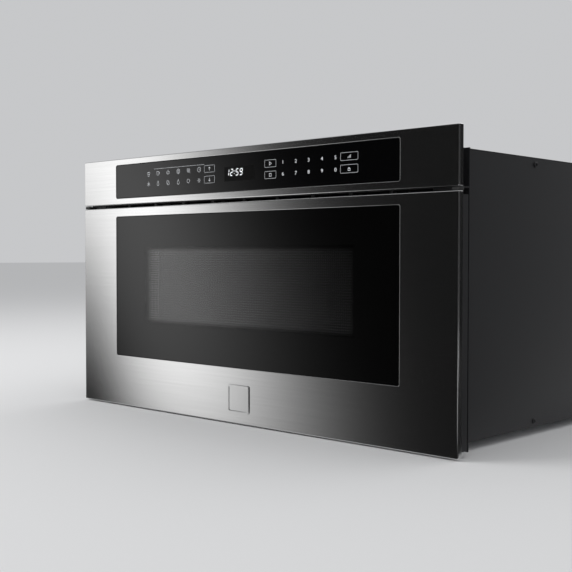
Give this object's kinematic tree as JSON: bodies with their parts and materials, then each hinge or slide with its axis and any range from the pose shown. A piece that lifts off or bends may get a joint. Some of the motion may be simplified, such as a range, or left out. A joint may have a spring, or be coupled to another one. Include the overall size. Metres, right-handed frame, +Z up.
{
  "type": "microwave drawer",
  "caption": "Built-in microwave drawer: a steel-fronted drawer with a dark window slides out of a cavity under a glass touch control fascia.",
  "frame": {"origin": "on the floor that the feet stand on, under the middle of the whole unit", "axes": "+X to the right across the face, +Y back into the cabinet, +Z up"},
  "size_m": [0.759, 0.595, 0.406],
  "materials": {
    "brushed_steel": "brushed along the width",
    "galvanised": "plain galvanised sheet, satin",
    "black_paint": "satin",
    "cavity_enamel": "satin enamel",
    "black_glass": "polished, black printed behind",
    "clear_glass": "polished",
    "black_plastic": "matt moulded",
    "grey_plastic": "matt moulded",
    "white_plastic": "matt moulded",
    "ceramic": "glazed",
    "rubber": "matt",
    "circuit_board": "solder mask",
    "aluminium": "mill finish",
    "bulb_glass": "clear bulb",
    "polished_steel": "bright zinc plate"
  },
  "bodies": {
    "chassis": {"antenna_cover": "ceramic", "antenna_well": "galvanised", "base_pan": "galvanised", "cavity_back_wall": "cavity_enamel", "cavity_floor": "cavity_enamel", "cavity_lamp": "bulb_glass", "cavity_left_wall": "cavity_enamel", "cavity_right_wall": "cavity_enamel", "cavity_roof": "cavity_enamel", "control_board": "circuit_board", "control_fascia": "brushed_steel", "control_glass": "black_glass", "control_housing": "black_plastic", "cord_gland": "black_plastic", "display_module": "white_plastic", "drive_motor": "galvanised", "fan_motor": "galvanised", "fan_shroud": "black_plastic", "fixed_rail_left": "polished_steel", "fixed_rail_right": "polished_steel", "foot_front_left": "rubber", "foot_front_right": "rubber", "foot_rear_left": "rubber", "foot_rear_right": "rubber", "front_plate": "black_paint", "latch_switch_left": "black_plastic", "latch_switch_right": "black_plastic", "left_side_panel": "black_paint", "magnetron": "galvanised", "power_supply": "circuit_board", "rear_panel": "galvanised", "right_side_panel": "black_paint", "stirrer_motor": "white_plastic", "top_cover": "black_paint", "vent_grille": "black_plastic", "waveguide": "galvanised"},
    "drawer": {"drawer_front_skin": "brushed_steel", "window_glass": "black_glass", "badge": "polished_steel", "door_tray": "black_paint", "window_screen": "black_paint", "choke_frame": "galvanised", "inner_pane": "clear_glass", "choke_cover": "black_plastic", "drawer_left_wall": "grey_plastic", "drawer_right_wall": "grey_plastic", "drawer_back_wall": "grey_plastic", "drawer_floor": "grey_plastic", "moving_rail_left": "polished_steel", "moving_rail_right": "polished_steel", "drive_rack": "white_plastic", "latch_hook_left": "white_plastic", "latch_hook_right": "white_plastic"},
    "middle_rail_left": {"middle_rail_left": "polished_steel"},
    "middle_rail_right": {"middle_rail_right": "polished_steel"},
    "drive_pinion": {"drive_pinion": "white_plastic"},
    "antenna_rotor": {"antenna_rotor": "aluminium"},
    "fan_rotor": {"fan_rotor": "grey_plastic"},
    "switch_plunger_left": {"switch_plunger_left": "white_plastic"},
    "switch_plunger_right": {"switch_plunger_right": "white_plastic"}
  },
  "joints": [
    {"name": "drawer_slide", "type": "slide", "parent": "chassis", "child": "drawer", "axis": [0, -1, 0], "range_m": [0, 0.38]},
    {"name": "middle_slide_left", "type": "slide", "parent": "chassis", "child": "middle_rail_left", "axis": [0, -1, 0], "range_m": [0, 0.191]},
    {"name": "middle_slide_right", "type": "slide", "parent": "chassis", "child": "middle_rail_right", "axis": [0, -1, 0], "range_m": [0, 0.191]},
    {"name": "pinion_spin", "type": "hinge", "parent": "chassis", "child": "drive_pinion", "pos_m": [-0.1176, -0.21585, 0.0322], "axis": [0, 0, 1], "range_deg": [-1, 1211]},
    {"name": "antenna_spin", "type": "hinge", "parent": "chassis", "child": "antenna_rotor", "pos_m": [0, -0.05465, 0.09], "axis": [0, 0, 1], "continuous": true},
    {"name": "fan_spin", "type": "hinge", "parent": "chassis", "child": "fan_rotor", "pos_m": [0.178, 0.26435, 0.1112], "axis": [0, -1, 0], "continuous": true},
    {"name": "plunger_slide_left", "type": "slide", "parent": "chassis", "child": "switch_plunger_left", "axis": [0, 1, 0], "range_m": [0, 0.003], "stiffness_N_per_m": 300, "springref_m": -0.002},
    {"name": "plunger_slide_right", "type": "slide", "parent": "chassis", "child": "switch_plunger_right", "axis": [0, 1, 0], "range_m": [0, 0.003], "stiffness_N_per_m": 300, "springref_m": -0.002}
  ],
  "couplings": [
    {"joint": "middle_slide_left", "follows": "drawer_slide", "ratio": 0.5},
    {"joint": "middle_slide_right", "follows": "drawer_slide", "ratio": 0.5},
    {"joint": "pinion_spin", "follows": "drawer_slide", "rad_per_m": 55.556}
  ]
}
